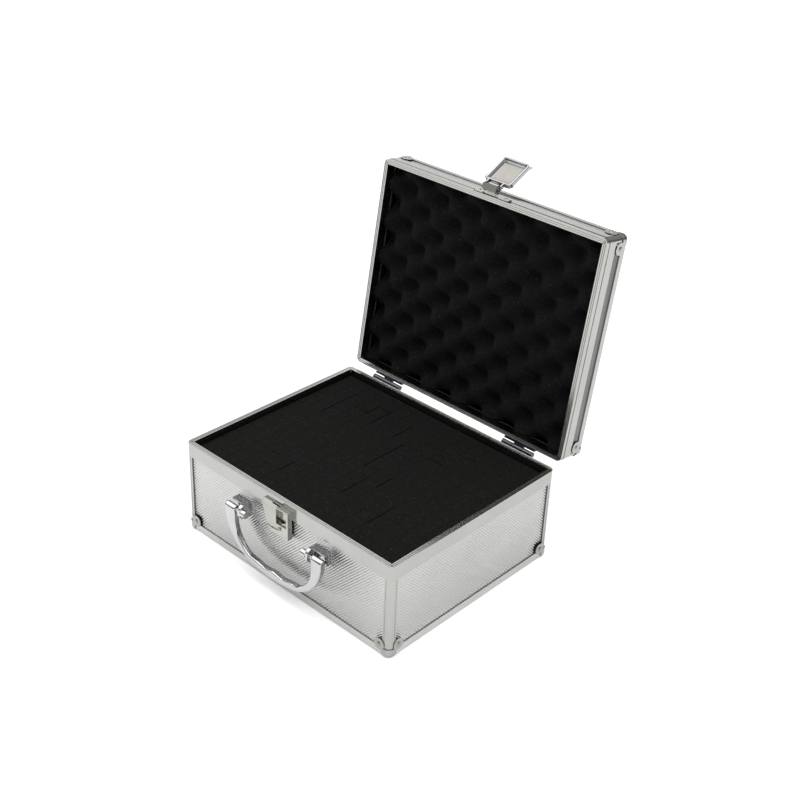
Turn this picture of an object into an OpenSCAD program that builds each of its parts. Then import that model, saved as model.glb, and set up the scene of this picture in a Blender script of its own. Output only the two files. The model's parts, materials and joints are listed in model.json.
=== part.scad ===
// Small aluminium-framed carry case for art supplies, lined with foam, shown with its lid open.
// Origin: centre of the face it stands on. +X runs to the right along the front, +Y to the hinges, +Z up.

/* [Case] */
// Width of the case along its front
case_w = 250; // [220:1:300]
// Depth of the case from front to hinges
case_d = 202; // [180:1:240]
// Height of the base up to its rim
base_h = 90; // [86:1:110]
// Height of the lid above the base's rim
lid_h = 30; // [30:0.5:40]
// Radius of the upright corners
corner_r = 5; // [5:0.1:6]
// How far the lid stands open, in degrees
open_angle = 99; // [90:1:105]

/* [Frame profiles] */
// Width of the rim's mating face
rim_w = 5; // [5:0.1:5.2]
// Height of the rim's outer face
rim_face_h = 13; // [12:0.5:14]
// Width of the edging and of the corner posts on each face
edging_w = 7.5; // [6:0.1:8]
// Thickness of the profiles' outer flanges
flange_t = 1.2; // [1:0.1:1.4]
// Thickness of the wall panels
panel_t = 2.7; // [2.4:0.1:2.8]

/* [Corner caps] */
// Thickness of the pressed steel caps
cap_t = 0.8; // [0.6:0.1:1]
// Length of the caps' folded corner along each edge
cap_corner = 8; // [7:0.1:8.5]
// Distance from the corner to the middle of a cap's ear
cap_ear_at = 10.5; // [10:0.1:12]
// Radius of a cap's ear
cap_ear_r = 5.5; // [5:0.1:5.5]

/* [Foam] */
// Depth of the pick foam's top below the base's rim
foam_drop = 6; // [5:0.5:12]
// Thickness of the plain pad under the pick foam
pad_t = 8; // [6:0.5:15]
// Depth of the egg-crate foam's peaks below the lid's rim
crate_drop = 5; // [4:0.5:8]

/* [Hinges] */
// Distance of each hinge from the middle of the back
hinge_at = 80; // [60:1:90]
// Length of each hinge
hinge_len = 34; // [30:1:40]
// Radius of the hinge barrels
hinge_r = 2.4; // [2.2:0.1:2.5]

/* [Handle] */
// Half of the handle's outer width
handle_half_w = 59; // [56:0.5:60]
// Width of the handle's arms
arm_w = 12.2; // [11:0.1:13]
// Front-to-back thickness of the handle
handle_t = 7.4; // [6:0.1:7.6]
// Height of the handle's pivots
handle_z = 62.3; // [60:0.1:63]
// Distance of the handle's pivots in front of the case
handle_out = 9.2; // [9:0.1:10]

/* [Latch] */
// Width of the latch lever
lever_w = 30; // [26:0.5:32]
// Length of the latch lever's dish
lever_len = 30; // [27:0.5:31]
// Angle between the raised lever and the lid's front wall
lever_rest = 35; // [30:1:40]
// Width of the catch plate on the base
catch_w = 32; // [31.5:0.5:34]
// Depth of the catch's side walls
catch_out = 5; // [4:0.1:5]

/* [Hidden] */
$fn = 48;

aluminium = [0.78, 0.78, 0.78];
ribbed = [0.72, 0.73, 0.73];
steel = [0.66, 0.67, 0.68];
nickel = [0.74, 0.70, 0.64];
chrome = [0.82, 0.83, 0.85];
black_foam = [0.11, 0.10, 0.09];
beige = [0.77, 0.76, 0.73];

eps = 0.02;
run_gap = 0.06;
seam_gap = 0.4;
case_h = base_h + lid_h;
lid_tray_h = lid_h - seam_gap;
front_y = -case_d / 2;
back_y = case_d / 2;

// Rim profile: a slot of panel thickness between an outer and an inner flange
rim_top_t = 5;
inner_flange_h = 5;
inner_flange_u = flange_t + panel_t;
rim_groove = [0.6, 0.5];
rim_groove_at = [1.5, 3.1];
rim_step = [0.4, 4];
rim_slit = 0.35;

// Edging and posts
edging_round = 2;
edging_floor_w = 11;
post_groove = 0.5;
mitre_slit = [6, 0.5];

// Rivets: head radius, head height, shank radius
cap_rivet = [2.4, 0.9, 1.4];
fitting_rivet = [1.7, 0.7, 1.0];

// Foam
foam_gap = 0.3;
foam_half = [case_w / 2 - rim_w - foam_gap, case_d / 2 - rim_w - foam_gap];
tray_floor = flange_t + panel_t;

// Hinges: the axis lies behind the back wall, just under the rim's plane
hinge_out = 4.5;
hinge_y = back_y + hinge_out;
hinge_z = base_h - 1.3;
hinge_pin_r = 1.1;
leaf_t = 1.4;
leaf_h = 10;
knuckle_gap = 0.4;
hinge_rivet_x = [-12, 0, 12];
knuckle_len = (hinge_len - 2 * knuckle_gap) / 3;

// Handle outline: arms, two large corner arcs and a slightly bowed grip
corner_arc = 45;
bow_arc = 120;
grip_z = 16;
arc_x = handle_half_w - corner_arc;
bow_z = grip_z + bow_arc;
arc_z = bow_z - sqrt(pow(bow_arc - corner_arc, 2) - pow(arc_x, 2));
inner_arc = 30;
inner_half_w = handle_half_w - arm_w;
inner_z = 22.2;
grip_hump = [20, 1.3];
knuckle_r = 3.6;
handle_pin_r = 1.6;
handle_y = front_y - handle_out;
bracket_x = [40, 56.5];
bracket_z = [handle_z - 6.9, handle_z + 6.1];
bracket_out = 12;
cheek_t = 3;
hood_t = 1.2;
hood_out = 6;
boss_len = 5.4;
boss_r = 3.3;
bracket_arch_r = 4;
bracket_round = 5;
bracket_rivet_in = 3.2;
bracket_rivet_z = [bracket_z[0] + 2, bracket_z[0] + 5.8];
hump_at = 21;

// Latch: pin A joins the link to the lid, pin B joins the lever to the link
pin_a = [front_y - 4.6, base_h + 2];
pin_b = [front_y - 9, base_h + 4.2];
plate_half = 20;
plate_z = [base_h + 1, base_h + 8.5];
plate_t = 1.2;
curl_half = 4.5;
link_half = 7.5;
link_t = 1;
lever_t = 1;
lever_floor = 3.4;
lever_edge = 1.5;
lever_start = 3.4;
lever_corner = 4;
lip_r = 20;
lip_angle = 37;
lip_flats = 6;
lip_before_end = 8.4;
lip_tip_t = 1.3;
claw_w = 7;
claw_at = 4.5;
claw_reach = 2.5;
latch_pin_r = 0.8;
curl_r = 1.9;
plate_notch = 1.6;
latch_rivet_x = 15;
link_x = [1.4, 5.9];
link_z = [-4.2, 3.7];
lever_ear_gap = 0.6;
lip_w = lever_w - lever_corner;
inlay_t = 0.6;
inlay_edge = [4.5, 2.5];
catch_t = 1;
catch_edge_t = 2;
catch_mid = -3.8;
catch_x = [catch_mid - catch_w / 2, catch_mid + catch_w / 2];
catch_z = [base_h - 31.6, base_h - 4.6];
catch_foot_x = -9;
catch_side = [-13.5, catch_z[0] + 5];
catch_slot = [-9, 0.4, 1.4];
catch_bevel = [2, 3.2];
bevel_t = 1.4;
catch_rivet_x = [-12, 6.5];
catch_rivet_z = [catch_z[1] - 14.4, catch_z[1] - 5];
window_z = catch_z[0] + 11;
flap_right = -1.9;
flap_z = catch_z[0] + 6.7;
flap_dip = [-8.7, 1.8];
flap_gap = 1;
flap_hole = [6.5, 3.4];
link_turn = 90;
lever_turn = link_turn + (90 - lever_rest);

// ---- placing ----

// Puts what is drawn in the closed lid's place where the open lid holds it
module open_lid() {
    translate([0, hinge_y, hinge_z])
        rotate([-open_angle, 0, 0])
            translate([0, -hinge_y, -hinge_z])
                children();
}

// Turns a tray with its floor at z = 0 into the lid, and opens it
module as_lid() {
    open_lid() translate([0, 0, case_h]) mirror([0, 0, 1]) children();
}

// Moves to a corner of the case, with the object on the +x, +y side
module at_corner(sx, sy) {
    translate([sx * case_w / 2, sy * case_d / 2, 0])
        mirror([sx > 0 ? 1 : 0, 0, 0])
            mirror([0, sy > 0 ? 1 : 0, 0])
                children();
}

module at_all_corners() {
    for (sx = [-1, 1], sy = [-1, 1]) at_corner(sx, sy) children();
}

// Moves to a hinge's middle on the back wall
module at_hinge(side) {
    translate([side * hinge_at, 0, 0]) children();
}

// Cylinder along X, centred on x = 0
module rod_x(r, len) {
    rotate([0, 90, 0]) cylinder(r = r, h = len, center = true);
}

// ---- shared shapes ----

// Sweeps a profile round the case. The profile's x is the depth in from the outer face, its y is height
module swept_ring() {
    run_x = case_w - 2 * corner_r;
    run_y = case_d - 2 * corner_r;
    for (sx = [-1, 1], sy = [-1, 1])
        at_corner(sx, sy)
            translate([corner_r, corner_r, 0])
                rotate([0, 0, 180])
                    rotate_extrude(angle = 90) translate([corner_r, 0]) mirror([1, 0]) children();
    for (s = [0, 1])
        mirror([0, s, 0])
            translate([-run_x / 2, front_y, 0])
                rotate([90, 0, 90]) linear_extrude(run_x) children();
    for (s = [0, 1])
        mirror([s, 0, 0])
            translate([-case_w / 2, run_y / 2, 0])
                rotate([90, 0, 0]) linear_extrude(run_y) children();
}

// Rectangle from the origin with its corner at the origin rounded
module eased_rect(size, r) {
    difference() {
        square(size);
        difference() {
            translate([-eps, -eps]) square(r + eps);
            translate([r, r]) circle(r);
        }
    }
}

// Rectangle centred on the origin with four round corners
module round_rect(w, h, r) {
    square([w - 2 * r, h], center = true);
    square([w, h - 2 * r], center = true);
    for (sx = [-1, 1], sy = [-1, 1])
        translate([sx * (w / 2 - r), sy * (h / 2 - r)]) circle(r);
}

// Rivet along +Z: its domed head stands above z = 0 and its shank hangs below
module rivet(size, depth) {
    head_r = size[0];
    head_h = size[1];
    dome_r = (head_r * head_r + head_h * head_h) / (2 * head_h);
    intersection() {
        translate([0, 0, head_h - dome_r]) sphere(dome_r);
        cylinder(r = head_r, h = head_h);
    }
    rivet_shank(size, depth);
}

module rivet_shank(size, depth) {
    translate([0, 0, -depth]) cylinder(r = size[2], h = depth);
}

// ---- trays: the base, and the lid turned over ----

module tray_rim(h, stepped) {
    lowest = h - rim_face_h;
    difference() {
        swept_ring() difference() {
            union() {
                translate([0, h - rim_top_t]) square([rim_w, rim_top_t]);
                translate([0, lowest]) square([flange_t, rim_face_h]);
                translate([inner_flange_u, h - rim_top_t - inner_flange_h])
                    square([rim_w - inner_flange_u, inner_flange_h + eps]);
            }
            for (u = rim_groove_at) translate([u, h - rim_groove[1]]) square([rim_groove[0], 1]);
            if (stepped) translate([-1, h - rim_step[1]]) square([1 + rim_step[0], rim_step[1] + 1]);
        }
        at_all_corners() translate([corner_r, corner_r, h]) rotate([0, 0, 45])
            cube([mitre_slit[0], mitre_slit[1], mitre_slit[0]], center = true);
    }
}

// The rim is one bent extrusion: its two ends meet at the back in a fine butt joint
module rim_with_joint(h, stepped, side) {
    difference() {
        tray_rim(h, stepped);
        translate([side * hinge_at - rim_slit / 2, back_y - rim_w - 1, h - rim_face_h - 1])
            cube([rim_slit, rim_w + 2, rim_face_h + 2]);
    }
}

module tray_edging() {
    difference() {
        union() {
            swept_ring() difference() {
                eased_rect([corner_r, edging_w], edging_round);
                translate([flange_t, flange_t]) square([corner_r, edging_w]);
            }
            linear_extrude(flange_t) difference() {
                square([case_w - 2 * edging_round, case_d - 2 * edging_round], center = true);
                square([case_w - 2 * edging_floor_w, case_d - 2 * edging_floor_w], center = true);
                at_all_corners() square(corner_r);
            }
        }
        at_all_corners() corner_cap_blank();
    }
}

module tray_floor_panel() {
    w = case_w - 2 * tray_floor;
    d = case_d - 2 * tray_floor;
    translate([-w / 2, -d / 2, flange_t]) cube([w, d, panel_t]);
}

// Wall along X at the front of the tray
module front_wall(h) {
    w = case_w - 2 * corner_r;
    difference() {
        translate([-w / 2, front_y + flange_t, flange_t]) cube([w, panel_t, h - rim_top_t - flange_t]);
        cap_rivet_shanks();
    }
}

// Wall along Y at the left of the tray
module side_wall(h) {
    d = case_d - 2 * corner_r;
    difference() {
        translate([-case_w / 2 + flange_t, -d / 2, flange_t]) cube([panel_t, d, h - rim_top_t - flange_t]);
        cap_rivet_shanks();
    }
}

module tray_post(sx, sy, h) {
    lip_t = rim_w - inner_flange_u;
    at_corner(sx, sy) translate([0, 0, edging_w])
        linear_extrude(h - rim_face_h - edging_w) difference() {
            union() {
                eased_rect([corner_r, corner_r], corner_r);
                for (m = [0, 1]) mirror([m, -m]) {
                    translate([corner_r - eps, 0]) square([edging_w - corner_r + eps, flange_t]);
                    translate([corner_r - eps, corner_r - lip_t]) square([edging_w - corner_r + eps, lip_t]);
                }
            }
            for (m = [0, 1]) mirror([m, -m]) translate([corner_r + post_groove, 0]) circle(post_groove);
        }
}

// Folded skin of a corner cap over two walls and the floor, with a round ear on each wall
module corner_cap_blank() {
    run = cap_corner - corner_r;
    translate([corner_r, corner_r, 0]) rotate([0, 0, 180])
        rotate_extrude(angle = 90) translate([corner_r, 0]) mirror([1, 0]) cap_profile(cap_corner);
    translate([corner_r, 0, 0]) rotate([90, 0, 90]) linear_extrude(run) cap_profile(cap_corner);
    translate([0, corner_r + run, 0]) rotate([90, 0, 0]) linear_extrude(run) cap_profile(cap_corner);
    translate([corner_r, corner_r, 0]) cube([run, run, cap_t]);
    translate([cap_ear_at, 0, cap_ear_at]) rotate([90, 0, 0]) cylinder(r = cap_ear_r, h = cap_t);
    translate([0, cap_ear_at, cap_ear_at]) rotate([0, -90, 0]) cylinder(r = cap_ear_r, h = cap_t);
}

module cap_profile(h) {
    difference() {
        translate([-cap_t, 0]) eased_rect([corner_r + cap_t, h], edging_round + cap_t);
        translate([0, cap_t]) eased_rect([corner_r + 1, h], edging_round);
    }
}

module corner_cap(sx, sy) {
    difference() {
        at_corner(sx, sy) corner_cap_blank();
        cap_rivet_shanks();
    }
}

// Goes to each cap rivet: one in each upright ear of the four caps, its head facing out
module at_cap_rivets() {
    at_all_corners() {
        translate([cap_ear_at, -cap_t, cap_ear_at]) rotate([90, 0, 0]) children();
        translate([-cap_t, cap_ear_at, cap_ear_at]) rotate([0, -90, 0]) children();
    }
}

module cap_rivet_shanks() {
    at_cap_rivets() rivet_shank(cap_rivet, cap_t + inner_flange_u);
}

module tray_cap_rivets() {
    at_cap_rivets() rivet(cap_rivet, cap_t + inner_flange_u);
}

// ---- base ----

module base_rim() {
    color(aluminium) difference() {
        rim_with_joint(base_h, false, -1);
        hinge_base_shanks();
        catch_shanks();
    }
}

module base_edging() {
    color(aluminium) tray_edging();
}

module base_bottom_panel() {
    color(ribbed) tray_floor_panel();
}

module base_front_panel() {
    color(ribbed) difference() {
        front_wall(base_h);
        catch_shanks();
        bracket_shanks();
    }
}

module base_back_panel() {
    color(ribbed) difference() {
        mirror([0, 1, 0]) front_wall(base_h);
        hinge_base_shanks();
    }
}

module base_left_panel() {
    color(ribbed) side_wall(base_h);
}

module base_right_panel() {
    color(ribbed) mirror([1, 0, 0]) side_wall(base_h);
}

module base_post_front_left() {
    color(aluminium) tray_post(-1, -1, base_h);
}

module base_post_front_right() {
    color(aluminium) tray_post(1, -1, base_h);
}

module base_post_back_left() {
    color(aluminium) tray_post(-1, 1, base_h);
}

module base_post_back_right() {
    color(aluminium) tray_post(1, 1, base_h);
}

module base_cap_front_left() {
    color(steel) corner_cap(-1, -1);
}

module base_cap_front_right() {
    color(steel) corner_cap(1, -1);
}

module base_cap_back_left() {
    color(steel) corner_cap(-1, 1);
}

module base_cap_back_right() {
    color(steel) corner_cap(1, 1);
}

module base_cap_rivets() {
    color(nickel) tray_cap_rivets();
}

// Block of foam that fills the tray between two heights
module foam_block(low, high) {
    translate([-foam_half[0], -foam_half[1], low])
        cube([2 * foam_half[0], 2 * foam_half[1], high - low]);
}

module base_foam_pad() {
    color(black_foam) foam_block(tray_floor, tray_floor + pad_t);
}

module pick_foam() {
    color(black_foam) foam_block(tray_floor + pad_t, base_h - foam_drop);
}

// ---- catch on the base's front ----

// Box of pressed sheet with a window on its right, and on its left a flap cut free along its lower edge
module catch_plate() {
    color(steel) difference() {
        union() {
            catch_face(front_y, catch_t) catch_outline();
            catch_face(front_y - catch_out + catch_t, catch_t) difference() {
                catch_outline();
                catch_window();
                flap_cut();
            }
            catch_face(front_y, catch_out) catch_left_wall();
            catch_wall(flap_right - catch_edge_t, flap_z);
            catch_wall(catch_x[1] - catch_edge_t, catch_z[0]);
            translate([catch_x[0], front_y - catch_out, catch_z[1] - catch_t])
                cube([catch_w, catch_out, catch_t]);
            along_flap(catch_x[0] + catch_t) bevel_sheet();
        }
        along_flap(catch_x[0] - 1) bevel_waste();
        translate([catch_slot[0], front_y - catch_t - catch_slot[2], catch_z[1] - catch_t - 1])
            cube([catch_slot[1] - catch_slot[0], catch_slot[2], catch_t + 2]);
        catch_shanks();
    }
}

// Front view of the catch: its left edge slants and its lower left corner is cut off
module catch_outline() {
    polygon([
        [catch_x[0], catch_z[1]],
        [catch_x[1], catch_z[1]],
        [catch_x[1], catch_z[0]],
        [catch_foot_x, catch_z[0]],
        catch_side
    ]);
}

module catch_left_wall() {
    polygon([
        [catch_x[0], catch_z[1]],
        catch_side,
        [catch_side[0] + catch_t, catch_side[1]],
        [catch_x[0] + catch_t, catch_z[1]]
    ]);
}

// Opening that the lever's claw reaches through
module catch_window() {
    translate([flap_right, window_z])
        square([catch_x[1] - catch_edge_t - flap_right, catch_z[1] - catch_t - window_z]);
}

// Gap under the flap, which widens into a hole at the flap's right corner
module flap_cut() {
    polygon([
        [catch_side[0] - 1, flap_z],
        [flap_dip[0], flap_z - flap_dip[1]],
        [flap_right, flap_z],
        [flap_right + flap_hole[0], flap_z + flap_hole[1]],
        [flap_right + flap_hole[0], flap_z],
        [flap_right, flap_z - 2 * flap_gap],
        [flap_dip[0], flap_z - flap_dip[1] - flap_gap],
        [catch_side[0] - 1, flap_z - flap_gap]
    ]);
}

// Side profile drawn along the top of the flap, from x on
module along_flap(x) {
    translate([x, front_y, catch_z[1]]) rotate([90, 0, 90]) linear_extrude(flap_right - x) children();
}

// Sloping sheet between the catch's top and the flap
module bevel_sheet() {
    polygon([
        [-catch_bevel[0], 0],
        [-catch_bevel[0], -bevel_t],
        [-catch_out, -catch_bevel[1] - bevel_t],
        [-catch_out, -catch_bevel[1]]
    ]);
}

// What the slope takes off the square corner above it
module bevel_waste() {
    polygon([
        [-catch_bevel[0], 0],
        [-catch_bevel[0], 1],
        [-catch_out - 1, 1],
        [-catch_out - 1, -catch_bevel[1]],
        [-catch_out, -catch_bevel[1]]
    ]);
}

// Upright shape of the given depth, with its back at y
module catch_face(y, depth) {
    translate([0, y, 0]) rotate([90, 0, 0]) linear_extrude(depth) children();
}

// Wall that runs out from the case, its left side at x, from a height up to the catch's top
module catch_wall(x, low) {
    translate([x, front_y - catch_out, low]) cube([catch_edge_t, catch_out, catch_z[1] - low]);
}

module at_catch_rivets() {
    for (x = catch_rivet_x, z = catch_rivet_z)
        translate([x, front_y - catch_t, z]) rotate([90, 0, 0]) children();
}

module catch_shanks() {
    at_catch_rivets() rivet_shank(fitting_rivet, catch_t + rim_w);
}

module catch_rivets() {
    color(nickel) at_catch_rivets() rivet(fitting_rivet, catch_t + rim_w);
}

// ---- carrying handle ----

// Bracket on the right of the handle; side = -1 mirrors it to the left
module handle_bracket(side) {
    w = bracket_x[1] - bracket_x[0];
    h = bracket_z[1] - bracket_z[0];
    mirror([side < 0 ? 1 : 0, 0, 0]) color(chrome) difference() {
        intersection() {
            translate([bracket_x[0], front_y + flange_t, bracket_z[0]])
                rotate([90, 0, 0]) linear_extrude(bracket_out + flange_t) square([w, h]);
            linear_extrude(case_h) polygon([
                [bracket_x[0], front_y + flange_t],
                [bracket_x[0], front_y - bracket_out],
                [bracket_x[0] + cheek_t, front_y - bracket_out],
                [bracket_x[0] + cheek_t, front_y - hood_out],
                [bracket_x[1], front_y - hood_out],
                [bracket_x[1], front_y + flange_t]
            ]);
            bracket_side_profile();
        }
        translate([bracket_x[0] + cheek_t, front_y - flange_t, bracket_z[0] - 1])
            rotate([90, 0, 0]) linear_extrude(bracket_out) {
                square([w, h + 1 - hood_t - bracket_arch_r]);
                translate([bracket_arch_r, 0]) square([w, h + 1 - hood_t]);
                translate([bracket_arch_r, h + 1 - hood_t - bracket_arch_r]) circle(bracket_arch_r);
            }
        translate([bracket_x[0], handle_y, handle_z]) rod_x(handle_pin_r, 2 * cheek_t + 2);
        bracket_shanks();
    }
}

// Outline of the bracket from the side, rounded at the front
module bracket_side_profile() {
    r = bracket_round;
    h = bracket_z[1] - bracket_z[0];
    translate([bracket_x[0], front_y + flange_t, bracket_z[0]])
        rotate([90, 0, 90]) linear_extrude(bracket_x[1] - bracket_x[0]) {
            translate([-bracket_out - flange_t + r, 0]) square([bracket_out + flange_t - r, h]);
            translate([-bracket_out - flange_t, r]) square([r, h - 2 * r]);
            for (z = [r, h - r]) translate([-bracket_out - flange_t + r, z]) circle(r);
        }
}

module handle_bracket_left() {
    handle_bracket(-1);
}

module handle_bracket_right() {
    handle_bracket(1);
}

// Pivot pin with a round boss against the bracket's inner cheek
module handle_pin(side) {
    mirror([side < 0 ? 1 : 0, 0, 0]) color(chrome) translate([bracket_x[0], handle_y, handle_z]) {
        translate([-boss_len / 2, 0, 0]) rod_x(boss_r, boss_len);
        pin_len = handle_half_w - bracket_x[0] - 1;
        translate([pin_len / 2, 0, 0]) rod_x(handle_pin_r, pin_len);
    }
}

module handle_pin_left() {
    handle_pin(-1);
}

module handle_pin_right() {
    handle_pin(1);
}

module at_bracket_rivets() {
    for (s = [-1, 1], z = bracket_rivet_z)
        translate([s * (bracket_x[1] - bracket_rivet_in), front_y - flange_t, z])
            rotate([90, 0, 0]) children();
}

module bracket_shanks() {
    at_bracket_rivets() rivet_shank(fitting_rivet, flange_t + inner_flange_u);
}

module handle_bracket_rivets() {
    color(nickel) at_bracket_rivets() rivet(fitting_rivet, flange_t + inner_flange_u);
}

// Outer outline of the hanging handle in front view
module bail_outer() {
    tangent = bow_arc / (bow_arc - corner_arc) * 1.1;
    for (s = [-1, 1]) translate([s * arc_x, arc_z]) circle(corner_arc, $fn = 96);
    intersection() {
        translate([0, bow_z]) circle(bow_arc, $fn = 180);
        polygon([
            [0, bow_z],
            [arc_x * tangent, bow_z - (bow_z - arc_z) * tangent],
            [-arc_x * tangent, bow_z - (bow_z - arc_z) * tangent]
        ]);
    }
}

// Space inside the handle in front view
module bail_inner() {
    arc_up = inner_z + inner_arc;
    inner_x = inner_half_w - inner_arc;
    for (s = [-1, 1]) translate([s * inner_x, arc_up]) circle(inner_arc, $fn = 96);
    translate([-inner_x, inner_z]) square([2 * inner_x, inner_arc]);
    translate([-inner_half_w, arc_up]) square([2 * inner_half_w, inner_arc]);
}

// Low humps between the fingers on the upper side of the grip
module bail_humps() {
    intersection() {
        bail_outer();
        for (x = [-hump_at, 0, hump_at])
            translate([x, inner_z + grip_hump[1] - grip_hump[0]]) circle(grip_hump[0]);
    }
}

module handle() {
    knuckle_x = handle_half_w - arm_w / 2;
    color(chrome) difference() {
        union() {
            translate([0, handle_y + handle_t / 2, 0]) rotate([90, 0, 0]) linear_extrude(handle_t) {
                difference() {
                    intersection() {
                        bail_outer();
                        translate([-case_w / 2, 0]) square([case_w, handle_z]);
                    }
                    bail_inner();
                }
                bail_humps();
            }
            for (s = [-1, 1]) translate([s * knuckle_x, handle_y, handle_z]) rod_x(knuckle_r, arm_w);
        }
        for (s = [-1, 1]) translate([s * knuckle_x, handle_y, handle_z])
            rod_x(handle_pin_r + run_gap, arm_w + 2);
    }
}

// ---- hinges ----

// Leaf drawn with its barrel's axis on the X axis and its plate hanging down at the wall.
// The knuckles stand at the given places, in knuckle lengths from the middle
module hinge_leaf(places, bore) {
    difference() {
        union() {
            translate([-hinge_len / 2, -hinge_out, -hinge_r - leaf_h + leaf_t])
                cube([hinge_len, leaf_t, leaf_h]);
            for (p = places) translate([p * (knuckle_len + knuckle_gap), 0, 0]) {
                rod_x(hinge_r, knuckle_len);
                translate([-knuckle_len / 2, -hinge_out, -hinge_r]) cube([knuckle_len, hinge_out, leaf_t]);
            }
        }
        rod_x(bore, hinge_len + 2);
    }
}

module base_leaf(side) {
    color(steel) difference() {
        at_hinge(side) translate([0, hinge_y, hinge_z]) hinge_leaf([-1, 1], hinge_pin_r);
        hinge_base_shanks();
    }
}

module hinge_base_leaf_left() {
    base_leaf(-1);
}

module hinge_base_leaf_right() {
    base_leaf(1);
}

module lid_leaf(side) {
    color(steel) open_lid() difference() {
        at_hinge(side) translate([0, hinge_y, hinge_z]) mirror([0, 0, 1])
            hinge_leaf([0], hinge_pin_r + run_gap);
        hinge_lid_shanks();
    }
}

module hinge_lid_leaf_left() {
    lid_leaf(-1);
}

module hinge_lid_leaf_right() {
    lid_leaf(1);
}

module hinge_pin(side) {
    color(steel) at_hinge(side) translate([0, hinge_y, hinge_z]) rod_x(hinge_pin_r, hinge_len);
}

module hinge_pin_left() {
    hinge_pin(-1);
}

module hinge_pin_right() {
    hinge_pin(1);
}

// Goes to the rivets of both leaves of one kind: up = -1 for the base, +1 for the lid
module at_hinge_rivets(up) {
    z = hinge_z + up * (hinge_r + leaf_h / 2);
    for (s = [-1, 1], x = hinge_rivet_x)
        translate([s * hinge_at + x, back_y + leaf_t, z]) rotate([-90, 0, 0]) children();
}

module hinge_base_shanks() {
    at_hinge_rivets(-1) rivet_shank(fitting_rivet, leaf_t + rim_w);
}

module hinge_base_rivets() {
    color(nickel) at_hinge_rivets(-1) rivet(fitting_rivet, leaf_t + rim_w);
}

// Drawn in the closed lid's place
module hinge_lid_shanks() {
    at_hinge_rivets(1) rivet_shank(fitting_rivet, leaf_t + rim_w);
}

module hinge_lid_rivets() {
    color(nickel) open_lid() at_hinge_rivets(1) rivet(fitting_rivet, leaf_t + rim_w);
}

// ---- lid ----

module lid_rim() {
    color(aluminium) difference() {
        as_lid() rim_with_joint(lid_tray_h, true, 1);
        open_lid() hinge_lid_shanks();
        open_lid() latch_plate_shanks();
    }
}

module lid_edging() {
    color(aluminium) as_lid() tray_edging();
}

module lid_top_panel() {
    color(ribbed) as_lid() tray_floor_panel();
}

module lid_front_panel() {
    color(ribbed) difference() {
        as_lid() front_wall(lid_tray_h);
        open_lid() latch_plate_shanks();
    }
}

module lid_back_panel() {
    color(ribbed) difference() {
        as_lid() mirror([0, 1, 0]) front_wall(lid_tray_h);
        open_lid() hinge_lid_shanks();
    }
}

module lid_left_panel() {
    color(ribbed) as_lid() side_wall(lid_tray_h);
}

module lid_right_panel() {
    color(ribbed) as_lid() mirror([1, 0, 0]) side_wall(lid_tray_h);
}

module lid_post_front_left() {
    color(aluminium) as_lid() tray_post(-1, -1, lid_tray_h);
}

module lid_post_front_right() {
    color(aluminium) as_lid() tray_post(1, -1, lid_tray_h);
}

module lid_post_back_left() {
    color(aluminium) as_lid() tray_post(-1, 1, lid_tray_h);
}

module lid_post_back_right() {
    color(aluminium) as_lid() tray_post(1, 1, lid_tray_h);
}

module lid_cap_front_left() {
    color(steel) as_lid() corner_cap(-1, -1);
}

module lid_cap_front_right() {
    color(steel) as_lid() corner_cap(1, -1);
}

module lid_cap_back_left() {
    color(steel) as_lid() corner_cap(-1, 1);
}

module lid_cap_back_right() {
    color(steel) as_lid() corner_cap(1, 1);
}

module lid_cap_rivets() {
    color(nickel) as_lid() tray_cap_rivets();
}

module egg_crate_foam() {
    color(black_foam) as_lid() foam_block(tray_floor, lid_tray_h - crate_drop);
}

// ---- latch ----

// Plate riveted to the lid's rim, with a curl that holds pin A
module latch_plate() {
    h = plate_z[1] - plate_z[0];
    color(steel) open_lid() difference() {
        union() {
            translate([0, front_y, (plate_z[0] + plate_z[1]) / 2]) rotate([90, 0, 0])
                linear_extrude(plate_t) difference() {
                    round_rect(2 * plate_half, h, h / 2 - eps);
                    translate([-link_half - 1, -h / 2 - 1]) square([2 * link_half + 2, 1 + plate_notch]);
                }
            translate([0, pin_a[0], pin_a[1]]) rod_x(curl_r, 2 * curl_half);
            translate([-curl_half, pin_a[0], pin_a[1] + curl_r - plate_t])
                cube([2 * curl_half, front_y - pin_a[0], plate_t]);
        }
        translate([0, pin_a[0], pin_a[1]]) rod_x(latch_pin_r, 2 * curl_half + 2);
        latch_plate_shanks();
    }
}

module latch_plate_pin() {
    color(steel) open_lid() translate([0, pin_a[0], pin_a[1]]) rod_x(latch_pin_r, 2 * link_half + 1);
}

module at_latch_rivets() {
    for (s = [-1, 1])
        translate([s * latch_rivet_x, front_y - plate_t, (plate_z[0] + plate_z[1]) / 2])
            rotate([90, 0, 0]) children();
}

module latch_plate_shanks() {
    at_latch_rivets() rivet_shank(fitting_rivet, plate_t + rim_w);
}

module latch_plate_rivets() {
    color(nickel) open_lid() at_latch_rivets() rivet(fitting_rivet, plate_t + rim_w);
}

// Outline of the link's two flanges: x is the distance out from pin A, y is the height above it
module link_outline() {
    circle(curl_r);
    polygon([
        [0, -curl_r],
        [link_x[0], link_z[0]],
        [link_x[1], link_z[0]],
        [link_x[1], link_z[1]],
        [link_x[1] / 2, link_z[1]],
        [0, curl_r]
    ]);
}

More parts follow.
